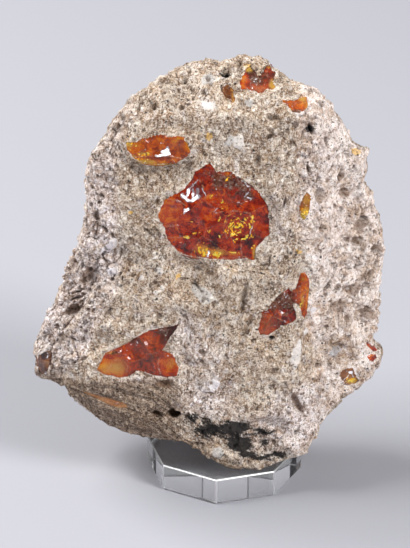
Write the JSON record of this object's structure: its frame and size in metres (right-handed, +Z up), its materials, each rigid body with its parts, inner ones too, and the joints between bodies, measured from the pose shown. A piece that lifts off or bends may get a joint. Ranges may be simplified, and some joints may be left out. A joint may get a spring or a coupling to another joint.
{
  "type": "opal specimen",
  "caption": "Rough lump of pale volcanic rock holding glassy orange-red fire opal nodules, resting on a clear octagonal display base.",
  "frame": {"origin": "middle of the underside of the display base, on the surface it stands on", "axes": "+Z up; -Y is the front, the broken face that shows the largest nodule; +X to the right seen from the front"},
  "size_m": [0.1191, 0.0589, 0.1476],
  "materials": {
    "matrix": "broken volcanic rock, grainy and pitted, beige with white, grey and brown grains",
    "base": "clear acrylic, polished",
    "opal_red": "clear orange-red opal, glassy shell-like fracture",
    "opal_orange": "clear orange opal, glassy",
    "opal_yellow": "clear yellow opal, glassy",
    "opal_brown": "clear honey-brown opal, glassy",
    "opal_pink": "milky orange-pink opal, waxy"
  },
  "bodies": {
    "root": {"matrix": "matrix", "base": "base", "opal_centre": "opal_red", "opal_upper_left": "opal_orange", "opal_top": "opal_red", "opal_shard": "opal_brown", "opal_upper_right": "opal_orange", "opal_yellow": "opal_yellow", "opal_blade": "opal_orange", "opal_right_lens": "opal_red", "opal_lower_left": "opal_red", "opal_far_left": "opal_brown", "opal_right_sliver": "opal_red", "opal_right_bead": "opal_red", "opal_lower_right": "opal_brown", "opal_seam": "opal_pink", "opal_back_upper": "opal_orange", "opal_back_lower": "opal_red", "opal_back_left": "opal_orange"}
  },
  "joints": []
}
